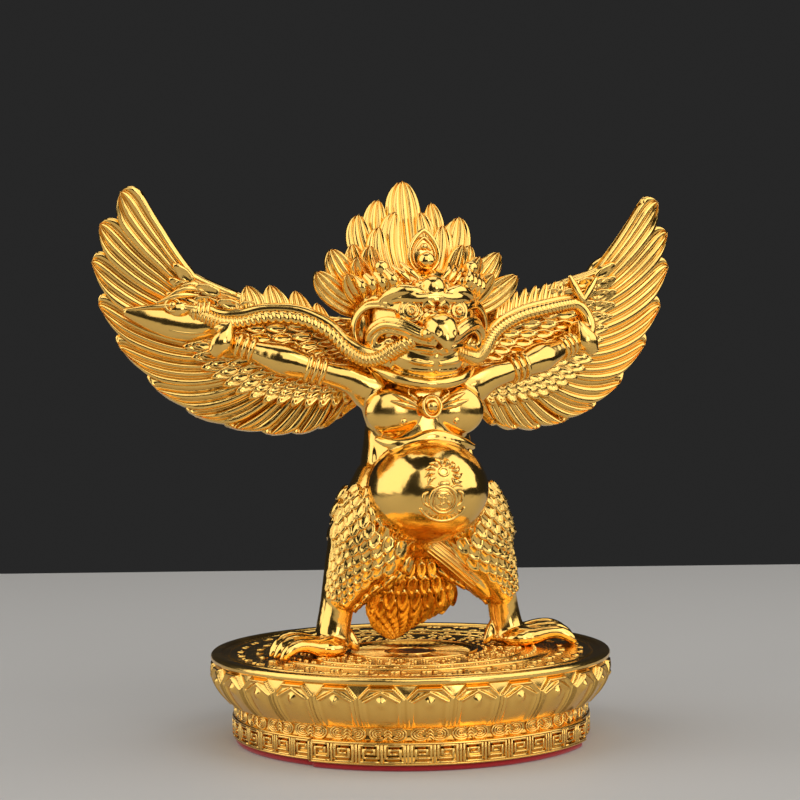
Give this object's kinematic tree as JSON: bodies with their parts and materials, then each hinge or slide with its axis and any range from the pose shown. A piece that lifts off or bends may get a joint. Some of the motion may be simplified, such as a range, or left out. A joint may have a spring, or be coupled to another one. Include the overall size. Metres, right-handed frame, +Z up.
{
  "type": "bird deity statuette",
  "caption": "Winged bird deity standing with spread wings and a serpent in its beak, on a round lotus plinth with a red pad underneath.",
  "frame": {"origin": "centre of the pad's underside, on the plinth's axis", "axes": "+Z up; the figure faces -Y; +X is the figure's left"},
  "size_m": [0.167, 0.1082, 0.1487],
  "materials": {
    "gilt": "polished gold plate",
    "gilt_plinth": "polished gold plate",
    "red_flock": "flocked"
  },
  "bodies": {
    "root": {"garuda_figure": "gilt", "lotus_plinth": "gilt_plinth", "base_pad": "red_flock"}
  },
  "joints": []
}
